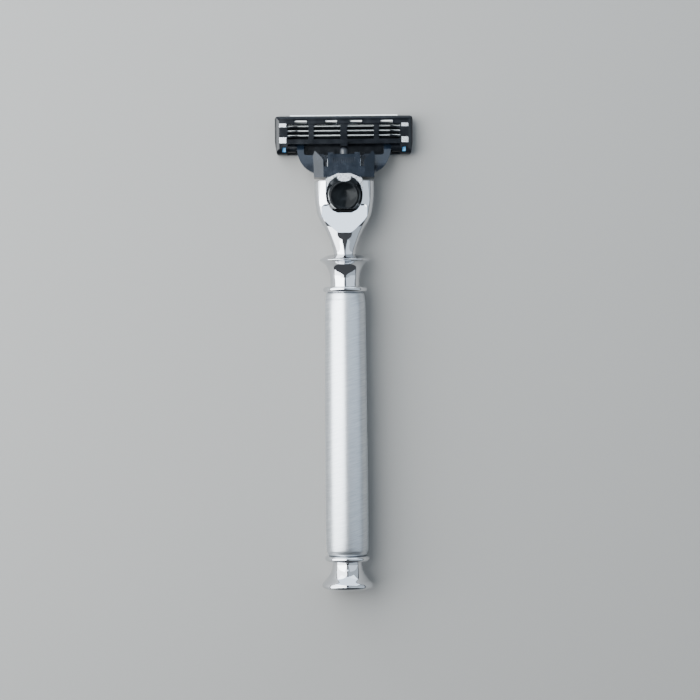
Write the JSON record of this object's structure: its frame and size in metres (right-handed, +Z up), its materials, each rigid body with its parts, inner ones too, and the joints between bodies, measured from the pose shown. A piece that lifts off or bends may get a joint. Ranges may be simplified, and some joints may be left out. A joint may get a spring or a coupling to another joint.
{
  "type": "cartridge razor",
  "caption": "Safety razor with a turned metal handle, a forked head with a thumb eject button, and a pivoting multi-blade cartridge.",
  "frame": {"origin": "on the surface the razor lies on, blades down, under the middle of its length", "axes": "+X across the razor, +Y along the handle towards the cartridge, +Z up, to the thumb button's side"},
  "size_m": [0.0414, 0.142, 0.0152],
  "materials": {
    "polished_metal": "polished to a mirror",
    "brushed_barrel": "satin, brushed round the barrel",
    "plain_steel": "plain ground steel",
    "nose_metal": "satin silver",
    "button_black": "satin black moulding",
    "yoke_plastic": "fine satin moulding",
    "housing_black": "semi-gloss black moulding",
    "guard_rubber": "soft matte",
    "strip_white": "dry waxy",
    "clip_aluminium": "bright rolled sheet",
    "blade_steel": "ground and honed"
  },
  "bodies": {
    "handle": {"end_cap": "polished_metal", "lower_bead_ring": "polished_metal", "barrel_sleeve": "brushed_barrel", "tie_rod": "plain_steel", "upper_bead_ring": "polished_metal", "upper_collar": "polished_metal", "head_body": "polished_metal", "nose_insert": "nose_metal", "nose_pin_right": "plain_steel", "nose_pin_left": "plain_steel", "plunger_spring": "plain_steel", "ejector_spring": "plain_steel"},
    "plunger": {"plunger": "plain_steel"},
    "ejector": {"ejector_slide": "nose_metal", "ejector_button": "button_black"},
    "yoke": {"yoke": "yoke_plastic"},
    "blade_unit": {"cartridge_housing": "housing_black", "guard_rubber": "guard_rubber", "lubricating_strip": "strip_white", "clip_right": "clip_aluminium", "clip_left": "clip_aluminium"},
    "rear_blade": {"blade_rear": "blade_steel", "blade_support_rear": "blade_steel"},
    "middle_blade": {"blade_middle": "blade_steel", "blade_support_middle": "blade_steel"},
    "front_blade": {"blade_front": "blade_steel", "blade_support_front": "blade_steel"}
  },
  "joints": [
    {"name": "eject_button", "type": "slide", "parent": "handle", "child": "ejector", "axis": [0, 1, 0], "range_m": [0, 0.003], "stiffness_N_per_m": 300, "springref_m": -0.001, "deforming": ["ejector_spring"]},
    {"name": "cartridge_pull_off", "type": "slide", "parent": "ejector", "child": "yoke", "axis": [0, 1, 0], "range_m": [0, 0.012]},
    {"name": "blade_unit_pivot", "type": "hinge", "parent": "yoke", "child": "blade_unit", "pos_m": [0, 0.0609, 0.0029], "axis": [1, 0, 0], "range_deg": [-36, 5], "stiffness_Nm_per_rad": 0.0004, "springref_deg": -40.11},
    {"name": "plunger_slide", "type": "slide", "parent": "handle", "child": "plunger", "axis": [0, 1, 0], "range_m": [-0.00035, 0.00225], "deforming": ["plunger_spring"]},
    {"name": "rear_blade_float", "type": "slide", "parent": "blade_unit", "child": "rear_blade", "axis": [0, 0, 1], "range_m": [0, 0.0003], "stiffness_N_per_m": 400, "springref_m": -0.0002},
    {"name": "middle_blade_float", "type": "slide", "parent": "blade_unit", "child": "middle_blade", "axis": [0, 0, 1], "range_m": [0, 0.0003], "stiffness_N_per_m": 400, "springref_m": -0.0002},
    {"name": "front_blade_float", "type": "slide", "parent": "blade_unit", "child": "front_blade", "axis": [0, 0, 1], "range_m": [0, 0.0003], "stiffness_N_per_m": 400, "springref_m": -0.0002}
  ],
  "couplings": [
    {"joint": "plunger_slide", "follows": "blade_unit_pivot", "m_per_rad": -0.0035}
  ]
}
